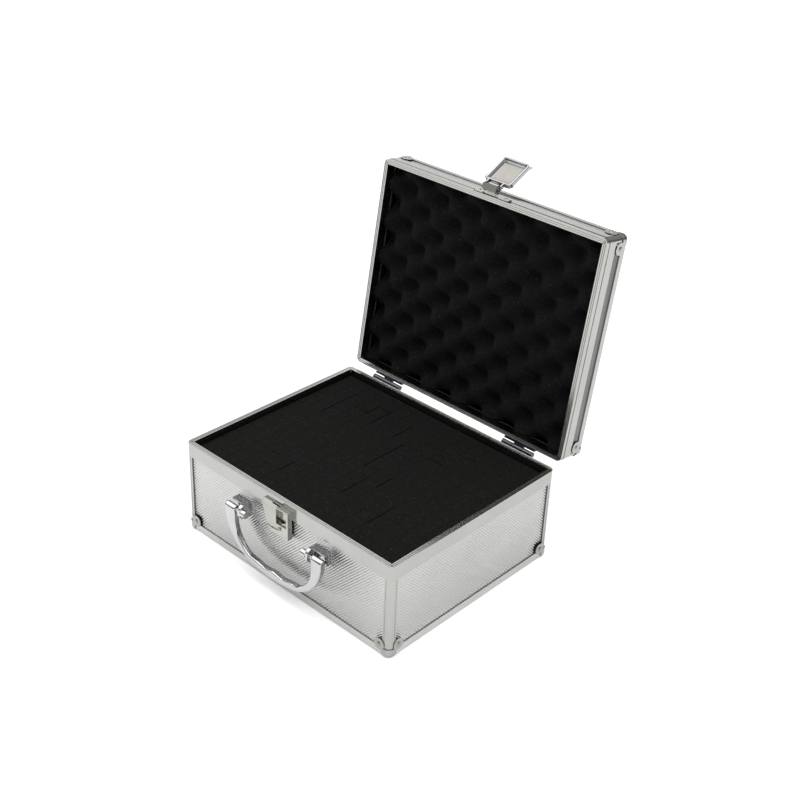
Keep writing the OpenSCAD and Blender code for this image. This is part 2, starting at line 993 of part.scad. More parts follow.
// Channel that turns on pin A and carries pin B
module latch_link() {
    color(steel) open_lid() difference() {
        union() {
            for (s = [-1, 1]) translate([s * (link_half - link_t / 2), pin_a[0], pin_a[1]])
                rotate([0, 0, 180]) rotate([90, 0, 90]) linear_extrude(link_t, center = true) link_outline();
            translate([-link_half, pin_a[0] - link_x[1], pin_a[1] + link_z[0]])
                cube([2 * link_half, link_x[1], link_t]);
        }
        translate([0, pin_a[0], pin_a[1]]) rod_x(latch_pin_r + run_gap, 2 * link_half + 2);
        translate([0, pin_b[0], pin_b[1]]) rod_x(latch_pin_r, 2 * link_half + 2);
    }
}

module latch_lever_pin() {
    color(steel) open_lid() translate([0, pin_b[0], pin_b[1]]) rod_x(latch_pin_r, 2 * link_half + 5);
}

// Takes the lever from its latched place, hanging from pin B, to its raised one
module raise_lever() {
    open_lid() translate([0, pin_b[0], pin_b[1]]) rotate([-lever_turn, 0, 0]) children();
}

// Lever hanging from pin B at the origin: a dish open to the case, a curved lip and a claw that
// hooks under the catch beside its flap
module latch_lever() {
    depth = lever_floor + lever_edge;
    mid = -lever_start - lever_len / 2;
    color(chrome) raise_lever() difference() {
        union() {
            translate([0, lever_edge, mid]) rotate([90, 0, 0]) linear_extrude(depth) difference() {
                round_rect(lever_w, lever_len, lever_corner);
                round_rect(lever_w - 2 * lever_t, lever_len - 2 * lever_t, lever_corner - lever_t);
            }
            translate([0, lever_t - lever_floor, mid]) rotate([90, 0, 0]) linear_extrude(lever_t)
                round_rect(lever_w, lever_len, lever_corner);
            lever_ears();
            lever_lip();
            translate([claw_at - claw_w / 2, lever_edge - lever_t, -lever_start - lever_t])
                cube([claw_w, claw_reach, lever_t]);
        }
        rod_x(latch_pin_r + run_gap, lever_w);
    }
}

// Two ears that reach from the dish to pin B, outside the link
module lever_ears() {
    ear_x = link_half + lever_ear_gap + lever_t / 2;
    for (s = [-1, 1]) translate([s * ear_x, 0, 0]) rotate([90, 0, 90])
        linear_extrude(lever_t, center = true) {
            circle(curl_r);
            translate([-curl_r, -lever_start - lever_t / 2])
                square([curl_r + lever_edge, lever_start + lever_t / 2]);
        }
}

// Finger lip that sweeps out from the back of the dish, away from the case
module lever_lip() {
    end_z = -lever_start - lever_len;
    start_z = end_z + lip_before_end;
    turns = [for (i = [0 : lip_flats]) i * lip_angle / lip_flats];
    tip = [-lever_floor - lip_r * (1 - cos(lip_angle)), start_z - lip_r * sin(lip_angle)];
    translate([-lip_w / 2, 0, 0]) rotate([90, 0, 90]) linear_extrude(lip_w) polygon(concat(
        [for (a = turns) [-lever_floor - lip_r * (1 - cos(a)), start_z - lip_r * sin(a)]],
        [[tip[0] + lip_tip_t, tip[1]]],
        [for (z = [end_z + lever_t, start_z]) [lever_t - lever_floor, z]]
    ));
}

module latch_lever_pad() {
    mid = -lever_start - lever_len / 2;
    color(beige) raise_lever() translate([0, lever_t - lever_floor + inlay_t, mid]) rotate([90, 0, 0])
        linear_extrude(inlay_t)
            round_rect(lever_w - 2 * inlay_edge[0], lever_len - 2 * inlay_edge[1], lever_corner - lever_t);
}

base_rim();
base_edging();
base_bottom_panel();
base_front_panel();
base_back_panel();
base_left_panel();
base_right_panel();
base_post_front_left();
base_post_front_right();
base_post_back_left();
base_post_back_right();
base_cap_front_left();
base_cap_front_right();
base_cap_back_left();
base_cap_back_right();
base_cap_rivets();
base_foam_pad();
pick_foam();
catch_plate();
catch_rivets();
handle_bracket_left();
handle_bracket_right();
handle_pin_left();
handle_pin_right();
handle_bracket_rivets();
handle();
hinge_base_leaf_left();
hinge_base_leaf_right();
hinge_pin_left();
hinge_pin_right();
hinge_base_rivets();
lid_rim();
lid_edging();
lid_top_panel();
lid_front_panel();
lid_back_panel();
lid_left_panel();
lid_right_panel();
lid_post_front_left();
lid_post_front_right();
lid_post_back_left();
lid_post_back_right();
lid_cap_front_left();
lid_cap_front_right();
lid_cap_back_left();
lid_cap_back_right();
lid_cap_rivets();
egg_crate_foam();
hinge_lid_leaf_left();
hinge_lid_leaf_right();
hinge_lid_rivets();
latch_plate();
latch_plate_pin();
latch_plate_rivets();
latch_link();
latch_lever_pin();
latch_lever();
latch_lever_pad();
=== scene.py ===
"""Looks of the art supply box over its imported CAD, in metres and in the same frame.

The lid stands open, so its pieces are drawn in the shut lid's place and turned open with it.
"""

import json
import math

import bmesh
import bpy
import numpy as np
from mathutils import Matrix, Vector


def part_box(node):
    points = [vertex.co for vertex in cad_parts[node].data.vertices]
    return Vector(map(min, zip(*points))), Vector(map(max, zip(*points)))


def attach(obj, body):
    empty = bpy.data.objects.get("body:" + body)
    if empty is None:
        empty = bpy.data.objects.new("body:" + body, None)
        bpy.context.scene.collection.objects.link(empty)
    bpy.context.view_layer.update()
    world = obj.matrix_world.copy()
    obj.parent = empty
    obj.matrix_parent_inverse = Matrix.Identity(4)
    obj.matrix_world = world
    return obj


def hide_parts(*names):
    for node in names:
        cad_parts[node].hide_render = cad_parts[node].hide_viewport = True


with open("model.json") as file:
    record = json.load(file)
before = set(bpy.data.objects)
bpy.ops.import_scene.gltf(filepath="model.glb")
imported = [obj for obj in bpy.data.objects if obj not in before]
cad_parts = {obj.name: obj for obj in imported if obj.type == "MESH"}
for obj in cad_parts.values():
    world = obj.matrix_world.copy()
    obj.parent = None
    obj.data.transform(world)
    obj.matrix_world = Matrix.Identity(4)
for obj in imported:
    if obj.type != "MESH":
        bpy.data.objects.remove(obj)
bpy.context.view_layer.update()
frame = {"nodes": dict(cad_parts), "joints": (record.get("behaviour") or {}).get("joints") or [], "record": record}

MM = 0.001
NODES = frame["nodes"]
JOINTS = {joint["name"]: joint for joint in frame["joints"]}
SLOT_OF = {part["node"]: part["material_slot"] for part in frame["record"]["subparts"]}


# ---- places ----

def turn_about(joint, degrees):
    """Turns about a joint's axis, where that axis is at rest."""
    pivot = Matrix.Translation(Vector(JOINTS[joint]["pos_m"]))
    return pivot @ Matrix.Rotation(math.radians(degrees), 4, "X") @ pivot.inverted()


def limit(joint):
    """The far end of a joint's range, in degrees."""
    return JOINTS[joint]["range_deg"][1]


def lever_place():
    """From the lever's own frame, where it hangs latched below its pin, to its raised place."""
    turned = sum(limit(j) for j in ("lid_hinge", "latch_link_turn", "latch_lever_turn"))
    pin = Matrix.Translation(Vector(JOINTS["latch_lever_turn"]["pos_m"]))
    return pin @ Matrix.Rotation(math.radians(-turned), 4, "X")


BASE = Matrix.Identity(4)
LID = turn_about("lid_hinge", -limit("lid_hinge"))
LEVER = lever_place()


def box_in(place, node):
    """Lowest and highest corner of a CAD node in the frame that place leads from."""
    back = place.inverted()
    points = np.array([back @ v.co for v in NODES[node].data.vertices])
    return Vector(points.min(0)), Vector(points.max(0))


# ---- meshes ----

def add_piece(name, mesh, place, body, stands_for, material, sharp=35):
    """Links a closed mesh, gives it its material, hangs it on its body and hides the CAD parts it stands for."""
    mesh.transform(place)
    mesh.polygons.foreach_set("use_smooth", [True] * len(mesh.polygons))
    mesh.set_sharp_from_angle(angle=math.radians(sharp))
    mesh.materials.append(material)
    piece = bpy.data.objects.new(name, mesh)
    bpy.context.scene.collection.objects.link(piece)
    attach(piece, body)
    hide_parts(*stands_for)
    return piece


def closed_mesh(name, verts, faces):
    """Mesh from lists, with its faces turned outward."""
    bm = bmesh.new()
    points = [bm.verts.new(v) for v in verts]
    for face in faces:
        bm.faces.new([points[i] for i in face])
    bmesh.ops.recalc_face_normals(bm, faces=bm.faces)
    mesh = bpy.data.meshes.new(name)
    bm.to_mesh(mesh)
    bm.free()
    return mesh


def ring_mesh(name, rings):
    """Closed skin through rings of equally many points, with flat ends."""
    count = len(rings[0])
    verts = [point for ring in rings for point in ring]
    faces = []
    for r in range(len(rings) - 1):
        for i in range(count):
            j = (i + 1) % count
            faces.append((r * count + i, r * count + j, (r + 1) * count + j, (r + 1) * count + i))
    faces.append(tuple(range(count))[::-1])
    faces.append(tuple(range((len(rings) - 1) * count, len(rings) * count)))
    return closed_mesh(name, verts, faces)


def field_mesh(name, xs, ys, heights, floor):
    """Block with a flat bottom at z = floor and the height field on top."""
    nx, ny = len(xs), len(ys)
    verts = [(x, y, heights[i][j]) for i, x in enumerate(xs) for j, y in enumerate(ys)]
    faces = []
    for i in range(nx - 1):
        for j in range(ny - 1):
            faces.append((i * ny + j, (i + 1) * ny + j, (i + 1) * ny + j + 1, i * ny + j + 1))
    edge = [i * ny for i in range(nx)]
    edge += [(nx - 1) * ny + j for j in range(1, ny)]
    edge += [i * ny + ny - 1 for i in range(nx - 2, -1, -1)]
    edge += list(range(ny - 2, 0, -1))
    low = len(verts)
    verts += [(verts[e][0], verts[e][1], floor) for e in edge]
    count = len(edge)
    for k in range(count):
        following = (k + 1) % count
        faces.append((edge[following], edge[k], low + k, low + following))
    faces.append(tuple(range(low, low + count))[::-1])
    return closed_mesh(name, verts, faces)


# ---- materials ----

GRAIN_DEPTH = 0.1 * MM
PORE_DEPTH = 0.5 * MM


def new_material(name, color, metallic, roughness):
    """Plain Principled material and its nodes, to be worked on."""
    material = bpy.data.materials.new(name)
    material.use_nodes = True
    tree = material.node_tree
    shader = tree.nodes["Principled BSDF"]
    shader.inputs["Base Color"].default_value = (*color, 1)
    shader.inputs["Metallic"].default_value = metallic
    shader.inputs["Roughness"].default_value = roughness
    return material, tree, shader


def noise_node(tree, scale, stretch=(1, 1, 1), detail=4.0):
    """Noise over the piece's own coordinates, stretched along its grain."""
    coordinates = tree.nodes.new("ShaderNodeTexCoord")
    mapping = tree.nodes.new("ShaderNodeMapping")
    mapping.inputs["Scale"].default_value = stretch
    noise = tree.nodes.new("ShaderNodeTexNoise")
    noise.inputs["Scale"].default_value = scale
    noise.inputs["Detail"].default_value = detail
    tree.links.new(coordinates.outputs["Object"], mapping.inputs["Vector"])
    tree.links.new(mapping.outputs["Vector"], noise.inputs["Vector"])
    return noise


def ramp_node(tree, source, stops):
    """Colour ramp over a texture's value: stops are (position, colour)."""
    ramp = tree.nodes.new("ShaderNodeValToRGB")
    elements = ramp.color_ramp.elements
    while len(elements) < len(stops):
        elements.new(0.5)
    for element, (position, color) in zip(elements, stops):
        element.position = position
        element.color = (*color, 1)
    tree.links.new(source, ramp.inputs["Fac"])
    return ramp


def bump_from(tree, shader, source, strength, distance, edge=0.0):
    """Bump from a texture; edges are shaded as if rounded by the radius given."""
    bump = tree.nodes.new("ShaderNodeBump")
    if edge:
        bevel = tree.nodes.new("ShaderNodeBevel")
        bevel.samples = 6
        bevel.inputs["Radius"].default_value = edge
        tree.links.new(bevel.outputs["Normal"], bump.inputs["Normal"])
    bump.inputs["Strength"].default_value = strength
    bump.inputs["Distance"].default_value = distance
    tree.links.new(source, bump.inputs["Height"])
    tree.links.new(bump.outputs["Normal"], shader.inputs["Normal"])


def shade(color, factor):
    """The same colour, darker or brighter."""
    return tuple(min(1.0, c * factor) for c in color)


def metal(name, color, roughness, grain=(1, 1, 1), grain_scale=600, worn=0.08, bump=0.01, uneven=0.1,
          edge=0.0):
    """Metal with a fine grain, cloudy handling marks and uneven roughness."""
    material, tree, shader = new_material(name, color, 1.0, roughness)
    clouds = noise_node(tree, 22, detail=6)
    tint = ramp_node(tree, clouds.outputs["Fac"], [
        (0.3, shade(color, 1 - worn)),
        (0.7, shade(color, 1 + worn)),
    ])
    tree.links.new(tint.outputs["Color"], shader.inputs["Base Color"])
    fine = noise_node(tree, grain_scale, grain, detail=3)
    spread = ramp_node(tree, fine.outputs["Fac"], [
        (0.3, (roughness * (1 - uneven),) * 3),
        (0.7, (roughness * (1 + uneven),) * 3),
    ])
    tree.links.new(spread.outputs["Color"], shader.inputs["Roughness"])
    bump_from(tree, shader, fine.outputs["Fac"], bump, GRAIN_DEPTH, edge)
    return material


def paint_upward_highlight(material, color):
    """Paints a highlight on the faces that look up: they get a brighter colour, as if catching more light from
    above.
    """
    tree = material.node_tree
    base_color = tree.nodes["Principled BSDF"].inputs["Base Color"]
    coordinates = tree.nodes.new("ShaderNodeTexCoord")
    split = tree.nodes.new("ShaderNodeSeparateXYZ")
    tree.links.new(coordinates.outputs["Normal"], split.inputs["Vector"])
    # Mask of the painted highlight: faces whose normal points up
    upward = ramp_node(tree, split.outputs["Z"], [(0.5, (0, 0, 0)), (0.9, (1, 1, 1))])
    mix = tree.nodes.new("ShaderNodeMix")
    mix.data_type = "RGBA"
    mix.inputs["B"].default_value = (*color, 1)
    tree.links.new(upward.outputs["Color"], mix.inputs["Factor"])
    tree.links.new(base_color.links[0].from_socket, mix.inputs["A"])
    tree.links.new(mix.outputs["Result"], base_color)


def foam(name, dark, light, speck):
    """Open-cell foam: matt, full of pores, with a few specks of dust."""
    material, tree, shader = new_material(name, dark, 0.0, 1.0)
    shader.inputs["Specular IOR Level"].default_value = 0.12
    pores = noise_node(tree, 1100, detail=5)
    cells = ramp_node(tree, pores.outputs["Fac"], [(0.38, dark), (0.66, light)])
    coordinates = tree.nodes.new("ShaderNodeTexCoord")
    dots = tree.nodes.new("ShaderNodeTexVoronoi")
    dots.inputs["Scale"].default_value = 260
    tree.links.new(coordinates.outputs["Object"], dots.inputs["Vector"])
    dust = ramp_node(tree, dots.outputs["Distance"], [(0.0, (1, 1, 1)), (0.11, (0, 0, 0))])
    mix = tree.nodes.new("ShaderNodeMix")
    mix.data_type = "RGBA"
    mix.inputs["B"].default_value = (*speck, 1)
    tree.links.new(dust.outputs["Color"], mix.inputs["Factor"])
    tree.links.new(cells.outputs["Color"], mix.inputs["A"])
    tree.links.new(mix.outputs["Result"], shader.inputs["Base Color"])
    bump_from(tree, shader, pores.outputs["Fac"], 0.9, PORE_DEPTH)
    return material


def paint(name, color, roughness):
    """Matt paint with a faint mottle."""
    material, tree, shader = new_material(name, color, 0.0, roughness)
    mottle = noise_node(tree, 180, detail=5)
    tint = ramp_node(tree, mottle.outputs["Fac"], [
        (0.3, shade(color, 0.93)),
        (0.7, shade(color, 1.05)),
    ])
    tree.links.new(tint.outputs["Color"], shader.inputs["Base Color"])
    bump_from(tree, shader, mottle.outputs["Fac"], 0.15, GRAIN_DEPTH)
    return material


ALUMINIUM = (0.325, 0.325, 0.312)
PANEL = (0.40, 0.40, 0.392)
STEEL = (0.31, 0.31, 0.30)
LATCH = (0.33, 0.325, 0.30)
NICKEL = (0.26, 0.22, 0.17)
HINGE = (0.065, 0.07, 0.08)
CHROME = (0.42, 0.42, 0.425)

FRAME_FINISH = {"grain_scale": 500, "bump": 0.004, "uneven": 0.08}
PANEL_FINISH = {"grain_scale": 500, "worn": 0.05}
PRESSED_EDGE = 0.4 * MM

MATERIALS = {
    "frame_aluminium": metal("frame_aluminium", ALUMINIUM, 0.17, worn=0.05, **FRAME_FINISH),
    "ribbed_panel": metal("ribbed_panel", PANEL, 0.18, **PANEL_FINISH),
    "cap_steel": metal("cap_steel", STEEL, 0.2, edge=PRESSED_EDGE),
    "rivets": metal("rivets", NICKEL, 0.26, worn=0.15, bump=0.02, uneven=0.15),
    "hinge_steel": metal("hinge_steel", HINGE, 0.16, (1, 0.2, 0.2), 700, worn=0.12, bump=0.02, uneven=0.15),
    "handle_chrome": metal("handle_chrome", CHROME, 0.2, worn=0.06, edge=0.3 * MM),
    "lever_chrome": metal("lever_chrome", shade(CHROME, 0.75), 0.16, worn=0.06),
    "latch_steel": metal("latch_steel", LATCH, 0.22, worn=0.15, uneven=0.15, edge=PRESSED_EDGE),
    "lever_inlay": paint("lever_inlay", (0.30, 0.287, 0.26), 0.6),
    "foam": foam("foam", (0.0008, 0.0008, 0.0007), (0.0072, 0.0068, 0.0062), (0.08, 0.075, 0.07)),
}
# Materials of single pieces that differ from the rest of their slot; the painted light and shade among them are
# named at each
# Lid panels: a darker copy of the ribbed panel, painted shade that draws the lid's walls darker than the base's
LID_PANEL_SHADED = metal("lid_panel_painted_shade", shade(PANEL, 0.6), 0.2, **PANEL_FINISH)
# Base edging: a brighter copy of the aluminium, painted light set against the shade of the floor beside the case
EDGING_PAINTED_LIGHT = metal("edging_painted_light", shade(ALUMINIUM, 1.5), 0.25, **FRAME_FINISH)
# Base rim: aluminium that gets a painted highlight on the faces that look up
BASE_RIM_HIGHLIGHTED = metal("base_rim_painted_highlight", ALUMINIUM, 0.17, worn=0.05, **FRAME_FINISH)
DARK_LINK = metal("dark_link", shade(LATCH, 0.4), 0.25, edge=PRESSED_EDGE)
# Painted shadow: a dark strip on the ribs along the frame, where the seam between panel and edging lies in shade
SEAM_SHADOW = paint("seam_painted_shadow", (0.035, 0.034, 0.032), 0.8)
POLISHED = metal("handle_polish", CHROME, 0.09, grain_scale=400, worn=0.12, uneven=0.2)
CRATE = foam("crate_foam", (0.0006, 0.0006, 0.0007), (0.0064, 0.0063, 0.0062), (0.08, 0.08, 0.08))


def dress_cad():
    """Gives every CAD node the material of its slot, and three of them their own: painted light on the base
    edging, a painted highlight on the base rim's upward faces and a darker latch link.
    """
    for name, node in NODES.items():
        node.data.materials.clear()
        node.data.materials.append(MATERIALS[SLOT_OF[name]])
    # Painted light: the base edging takes the brighter copy of the aluminium
    NODES["base_edging"].data.materials[0] = EDGING_PAINTED_LIGHT
    NODES["base_rim"].data.materials[0] = BASE_RIM_HIGHLIGHTED
    # Painted highlight: the rim's upward faces take a much brighter aluminium
    paint_upward_highlight(BASE_RIM_HIGHLIGHTED, shade(ALUMINIUM, 2.5))
    NODES["latch_link"].data.materials[0] = DARK_LINK


# ---- ribbed wall panels ----

RIB_PITCH = 2.1 * MM
RIB_RELIEF = 0.42 * MM
RIB_SINK = 0.6
RIB_FULLNESS = 0.8
# Width of the painted shadow strip along each seam
SEAM_W = 0.3 * MM
FLANGE_W = 11 * MM
RIB_STEPS = 8

# Axes of each wall as seen from outside: to the right along it, upward along it, and out of it
FACES = {
    "front": (Vector((1, 0, 0)), Vector((0, 0, 1)), Vector((0, -1, 0))),
    "right": (Vector((0, 1, 0)), Vector((0, 0, 1)), Vector((1, 0, 0))),
    "back": (Vector((-1, 0, 0)), Vector((0, 0, 1)), Vector((0, 1, 0))),
    "left": (Vector((0, -1, 0)), Vector((0, 0, 1)), Vector((-1, 0, 0))),
    "top": (Vector((1, 0, 0)), Vector((0, 1, 0)), Vector((0, 0, 1))),
    "bottom": (Vector((-1, 0, 0)), Vector((0, 1, 0)), Vector((0, 0, -1))),
}


def cut_plane(bm, point, normal, clear):
    """Cuts a mesh at a plane, and closes it again where the outer part is cleared."""
    everything = bm.verts[:] + bm.edges[:] + bm.faces[:]
    bmesh.ops.bisect_plane(bm, geom=everything, plane_co=point, plane_no=normal, clear_outer=clear)
    if clear:
        bmesh.ops.holes_fill(bm, edges=[e for e in bm.edges if e.is_boundary], sides=0)


def edge_planes(left, right, low, high):
    """The four planes round a rectangle, facing out of it."""
    return [
        (Vector((left, 0, 0)), Vector((-1, 0, 0))),
        (Vector((right, 0, 0)), Vector((1, 0, 0))),
        (Vector((0, low, 0)), Vector((0, -1, 0))),
        (Vector((0, high, 0)), Vector((0, 1, 0))),
    ]


def ribbed_slab(width, height, thickness, lean, seam):
    """Slab from the origin along x and y whose top has slanting ribs, cut to its rectangle.

    Outside the seam rectangle its faces take the second material, the painted shadow along the seam.
    """
    reach = width + height
    slant = math.radians(45 * lean)
    along = Vector((math.cos(slant), math.sin(slant), 0))
    across = Vector((along.y, -along.x, 0))
    middle = Vector((width / 2, height / 2, 0))
    step = RIB_PITCH / RIB_STEPS
    count = 2 * math.ceil(reach / 2 / step)
    profile = [(-count / 2 * step, -thickness)]
    for i in range(count + 1):
        wave = abs(math.sin(math.pi * i / RIB_STEPS)) ** RIB_FULLNESS
        profile.append(((i - count / 2) * step, (wave - RIB_SINK) * RIB_RELIEF))
    profile.append((count / 2 * step, -thickness))
    rings = [
        [middle + along * end * reach / 2 + across * s + Vector((0, 0, h)) for s, h in profile]
        for end in (-1, 1)
    ]
    mesh = ring_mesh("ribs", rings)
    bm = bmesh.new()
    bm.from_mesh(mesh)
    for point, normal in edge_planes(0, width, 0, height):
        cut_plane(bm, point, normal, True)
    for point, normal in edge_planes(*seam):
        cut_plane(bm, point, normal, False)
    # Faces outside the seam rectangle take the painted shadow
    for face in bm.faces:
        at = face.calc_center_median()
        inside = seam[0] < at.x < seam[1] and seam[2] < at.y < seam[3]
        face.material_index = 0 if inside else 1
    bmesh.ops.recalc_face_normals(bm, faces=bm.faces)
    bm.to_mesh(mesh)
    bm.free()
    return mesh


def seam_of(tray, place, face, width, height, low_gap):
    """Rectangle inside the frame round a panel, in the panel's own frame, less the strip of painted shadow beside
    it.
    """
    edging = box_in(place, f"{tray}_edging")
    rim = box_in(place, f"{tray}_rim")
    right, up, _ = FACES[face]
    outer = edging[1] - edging[0]
    post = outer.z if face not in ("top", "bottom") else FLANGE_W
    side = post - (abs(outer.dot(right)) - width) / 2
    if face in ("top", "bottom"):
        ends = [FLANGE_W - (abs(outer.dot(up)) - height) / 2] * 2
        return side + SEAM_W, width - side - SEAM_W, ends[0] + SEAM_W, height - ends[1] - SEAM_W
    if tray == "base":
        return side + SEAM_W, width - side - SEAM_W, edging[1].z - low_gap + SEAM_W, rim[0].z - low_gap
    return side + SEAM_W, width - side - SEAM_W, rim[1].z - low_gap, edging[0].z - low_gap - SEAM_W


def add_ribbed_panel(tray, place, face, lean):
    """Ribbed panel in the place of a tray's CAD panel that faces one way."""
    node = f"{tray}_{face}_panel"
    right, up, out = FACES[face]
    low, high = box_in(place, node)
    size = high - low
    middle = (low + high) / 2
    width, height, thickness = (abs(size.dot(axis)) for axis in (right, up, out))
    corner = middle - right * width / 2 - up * height / 2 + out * thickness / 2
    frame_of_face = Matrix((
        (right.x, up.x, out.x, corner.x),
        (right.y, up.y, out.y, corner.y),
        (right.z, up.z, out.z, corner.z),
        (0, 0, 0, 1),
    ))
    seam = seam_of(tray, place, face, width, height, low.z)
    mesh = ribbed_slab(width, height, thickness, lean, seam)
    # The lid's panels take the darker copy, as painted shade
    skin = MATERIALS["ribbed_panel"] if tray == "base" else LID_PANEL_SHADED
    piece = add_piece(f"{node}_ribbed", mesh, place @ frame_of_face, tray, [node], skin, 60)
    # Second material: the painted shadow along the seam
    piece.data.materials.append(SEAM_SHADOW)


def add_all_panels():
    """Walls of both trays, whose ribs mirror each other at the front right corner, and both big panels."""
    for face, lean in (("front", 1), ("right", -1), ("back", 1), ("left", -1)):
        add_ribbed_panel("base", BASE, face, lean)
        add_ribbed_panel("lid", LID, face, lean)
    add_ribbed_panel("lid", LID, "top", 1)
    add_ribbed_panel("base", BASE, "bottom", 1)


# ---- foam ----

CELL = 15.25 * MM
SLIT_W = 1.1 * MM
SLIT_DEPTH = 5 * MM
CUT_DEPTH = 0.5 * MM
BORDER_DROP = 0.8 * MM
HAIR = 0.01 * MM
# How far each cube stands below the block's top, lowest and highest, and how uneven its face is, in mm
CELL_LIFT = (-0.2, -0.05)
UNEVENNESS = 0.05
# Opened slits of the pick foam in cells from the front left corner: they run from one point to the next
SLITS = [
    [(2, 8.3), (2, 11.2)],
    [(3, 10), (4, 10), (4, 11), (5, 11), (5, 9.2)],
    [(7, 9.2), (7, 10.8), (7.4, 10.8)],
    [(8, 5.8), (8, 8.9)],
    [(9, 3), (9, 5.1)],
    [(10, 4.7), (10, 6)],
    [(12, 2), (12, 4)],
    [(5, 2), (5, 3.1)],
    [(3.45, 3), (3.75, 3)],
    [(10, 9), (11, 9)],
]


def cut_lines(low, high):
    """Coordinates of a grid with three close lines at each cut and plain ones between."""
    lines = [low, high]
    cuts = []
    k = 1
    while low + k * CELL < high - SLIT_W:
        at = low + k * CELL
        cuts.append(at)
        lines += [at - SLIT_W / 2, at, at + SLIT_W / 2]
        k += 1
    edges = [low, *cuts, high]
    for a, b in zip(edges, edges[1:]):
        lines += [a + (b - a) * part for part in (0.12, 0.3, 0.5, 0.7, 0.88)]
    return np.array(sorted(lines)), np.array(cuts)


def near(values, target):
    """Which of the values lie on the target."""
    return np.abs(values - target) < HAIR


def slit_depth(cell_x, cell_y):
    """How deep the foam is cut at a point given in cells, for every opened slit."""
    depth = 0.0
    for slit in SLITS:
        for (x0, y0), (x1, y1) in zip(slit, slit[1:]):
            across = abs(cell_x - x0) if x0 == x1 else abs(cell_y - y0)
            run, start, end = (cell_y, *sorted((y0, y1))) if x0 == x1 else (cell_x, *sorted((x0, x1)))
            if across < 0.01 and start - 0.02 <= run <= end + 0.02:
                depth = SLIT_DEPTH
    return depth


def add_pick_foam():
    """Block of pre-cut foam cubes, some of whose cuts have opened."""
    low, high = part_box("pick_foam")
    rng = np.random.default_rng(4)
    xs, x_cuts = cut_lines(low.x, high.x)
    ys, y_cuts = cut_lines(low.y, high.y)
    lift = rng.uniform(*CELL_LIFT, (len(x_cuts) + 1, len(y_cuts) + 1)) * MM
    heights = np.zeros((len(xs), len(ys)))
    for i, x in enumerate(xs):
        column = int(np.searchsorted(x_cuts, x))
        for j, y in enumerate(ys):
            row = int(np.searchsorted(y_cuts, y))
            height = high.z + lift[column, row] + rng.normal(0, UNEVENNESS) * MM
            if near(x_cuts, x).any() or near(y_cuts, y).any():
                height = high.z - CUT_DEPTH - slit_depth((x - low.x) / CELL, (y - low.y) / CELL)
            heights[i, j] = min(height, high.z)
    heights[[0, -1], :] -= BORDER_DROP
    heights[:, [0, -1]] -= BORDER_DROP
    mesh = field_mesh("pick_foam_block", xs, ys, heights, low.z)
    piece = add_piece("pick_foam_block", mesh, BASE, "base", ["pick_foam"], MATERIALS["foam"], 50)


BUMP_PITCH = (38 * MM, 35.2 * MM)
BUMP_START = (22.1 * MM, 18 * MM)
BUMP_DEPTH = 14.5 * MM
BUMP_SHARPNESS = 1.35


def add_egg_crate():
    """Lid's foam with staggered rows of bumps, drawn face down as in the shut lid."""
    low, high = box_in(LID, "egg_crate_foam")
    rng = np.random.default_rng(7)
    xs = np.linspace(low.x, high.x, 150)
    ys = np.linspace(low.y, high.y, 120)
    wave_x = np.cos(2 * math.pi * (xs - low.x - BUMP_START[0]) / BUMP_PITCH[0])
    wave_y = np.cos(2 * math.pi * (ys - low.y - BUMP_START[1]) / BUMP_PITCH[1])
    hollow = (0.5 + 0.5 * np.outer(wave_x, wave_y)) ** BUMP_SHARPNESS
    heights = low.z + BUMP_DEPTH * hollow + rng.uniform(0, 0.18, hollow.shape) * MM
    mesh = field_mesh("egg_crate_block", xs, ys, heights, high.z)
    piece = add_piece("egg_crate_block", mesh, LID, "lid", ["egg_crate_foam"], CRATE, 50)


def add_floor_pad():
    """Plain pad under the pick foam."""
    low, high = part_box("base_foam_pad")
    rng = np.random.default_rng(5)
    xs = np.linspace(low.x, high.x, 40)
    ys = np.linspace(low.y, high.y, 32)
    heights = high.z - rng.uniform(0, 0.15, (len(xs), len(ys))) * MM
    mesh = field_mesh("floor_pad_block", xs, ys, heights, low.z)
    piece = add_piece("floor_pad_block", mesh, BASE, "base", ["base_foam_pad"], MATERIALS["foam"], 50)


# ---- carry handle ----

ARM_W = 12.2 * MM
CORNER_R = 45 * MM
BOW_R = 120 * MM
INNER_R = 30 * MM
GRIP_W = 6.2 * MM
GRIP_THICK = 6.2 * MM
ARM_THICK = 6.6 * MM
KNUCKLE_R = 3.6 * MM
KNUCKLE_RINGS = 9
KNUCKLE_START = 0.4
GRIP_STATIONS = 120
HUMP_PITCH = 21 * MM
HUMP_H = 1.5 * MM
HUMP_REACH = 4 * MM
# Corners of the bar's section: on its outer side or not, behind (1) or in front (-1), and the radius
BAR_CORNERS = [
    (False, -1, 1.6 * MM),
    (True, -1, 1.0 * MM),
    (True, 1, 2.4 * MM),
    (False, 1, 2.4 * MM),
]


def circle_exit(origin, direction, centre, radius):
    """Point where a ray leaves a circle."""
    away = origin - centre
    b = away.dot(direction)
    return origin + direction * (-b + math.sqrt(b * b - away.dot(away) + radius * radius))


def outer_point(origin, direction, half_w, bottom):
    """Point on the handle's outer outline: a bowed grip between two corner arcs."""
    side = 1 if direction.x >= 0 else -1
    arc_x = half_w - CORNER_R
    bow = Vector((0, bottom + BOW_R))
    arc_z = bow.y - math.sqrt((BOW_R - CORNER_R) ** 2 - arc_x ** 2)
    on_bow = circle_exit(origin, direction, bow, BOW_R)
    if abs(on_bow.x) <= arc_x * BOW_R / (BOW_R - CORNER_R) and direction.y < 0:
        return on_bow
    return circle_exit(origin, direction, Vector((side * arc_x, arc_z)), CORNER_R)


